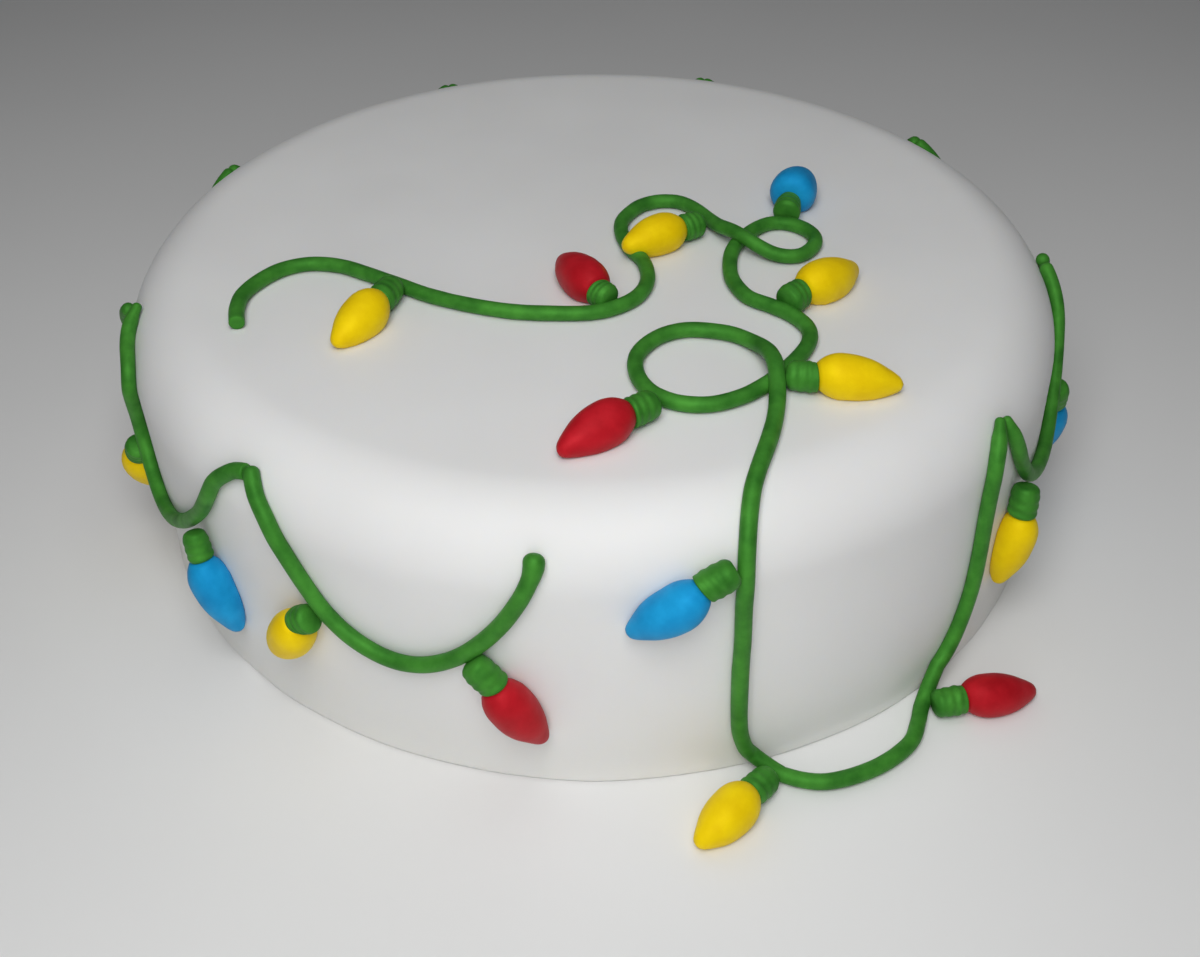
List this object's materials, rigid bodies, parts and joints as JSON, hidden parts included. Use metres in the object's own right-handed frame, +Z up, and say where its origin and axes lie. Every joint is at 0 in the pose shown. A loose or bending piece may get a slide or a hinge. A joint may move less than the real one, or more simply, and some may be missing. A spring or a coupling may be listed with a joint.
{
  "type": "christmas cake",
  "caption": "Round fruit cake under smooth white icing with a rounded top edge, decorated with a looping garland of icing rope and small coloured icing light bulbs.",
  "frame": {"origin": "centre of the cake's flat base, on the surface it stands on", "axes": "+Z up out of the cake's top, -Y towards the front that the picture shows, +X to the right of that view"},
  "size_m": [0.2272, 0.239, 0.0759],
  "materials": {
    "icing_white": "satin rolled icing",
    "icing_green": "satin modelled icing",
    "icing_red": "satin modelled icing",
    "icing_yellow": "satin modelled icing",
    "icing_blue": "satin modelled icing"
  },
  "bodies": {
    "root": {"cake": "icing_white", "rope_main": "icing_green", "rope_right": "icing_green", "rope_left": "icing_green", "rope_front": "icing_green", "rope_back_1": "icing_green", "rope_back_2": "icing_green", "rope_back_3": "icing_green", "rope_back_4": "icing_green", "rope_back_5": "icing_green", "socket_01": "icing_green", "bulb_01_red": "icing_red", "socket_02": "icing_green", "bulb_02_yellow": "icing_yellow", "socket_03": "icing_green", "bulb_03_blue": "icing_blue", "socket_04": "icing_green", "bulb_04_yellow": "icing_yellow", "socket_05": "icing_green", "bulb_05_yellow": "icing_yellow", "socket_06": "icing_green", "bulb_06_red": "icing_red", "socket_07": "icing_green", "bulb_07_yellow": "icing_yellow", "socket_08": "icing_green", "bulb_08_blue": "icing_blue", "socket_09": "icing_green", "bulb_09_yellow": "icing_yellow", "socket_10": "icing_green", "bulb_10_blue": "icing_blue", "socket_11": "icing_green", "bulb_11_yellow": "icing_yellow", "socket_12": "icing_green", "bulb_12_blue": "icing_blue", "socket_13": "icing_green", "bulb_13_yellow": "icing_yellow", "socket_14": "icing_green", "bulb_14_red": "icing_red", "socket_15": "icing_green", "bulb_15_yellow": "icing_yellow", "socket_16": "icing_green", "bulb_16_red": "icing_red", "socket_17": "icing_green", "bulb_17_red": "icing_red", "socket_18": "icing_green", "bulb_18_blue": "icing_blue", "socket_19": "icing_green", "bulb_19_yellow": "icing_yellow", "socket_20": "icing_green", "bulb_20_red": "icing_red", "socket_21": "icing_green", "bulb_21_blue": "icing_blue", "socket_22": "icing_green", "bulb_22_yellow": "icing_yellow", "socket_23": "icing_green", "bulb_23_blue": "icing_blue", "socket_24": "icing_green", "bulb_24_red": "icing_red"}
  },
  "joints": []
}
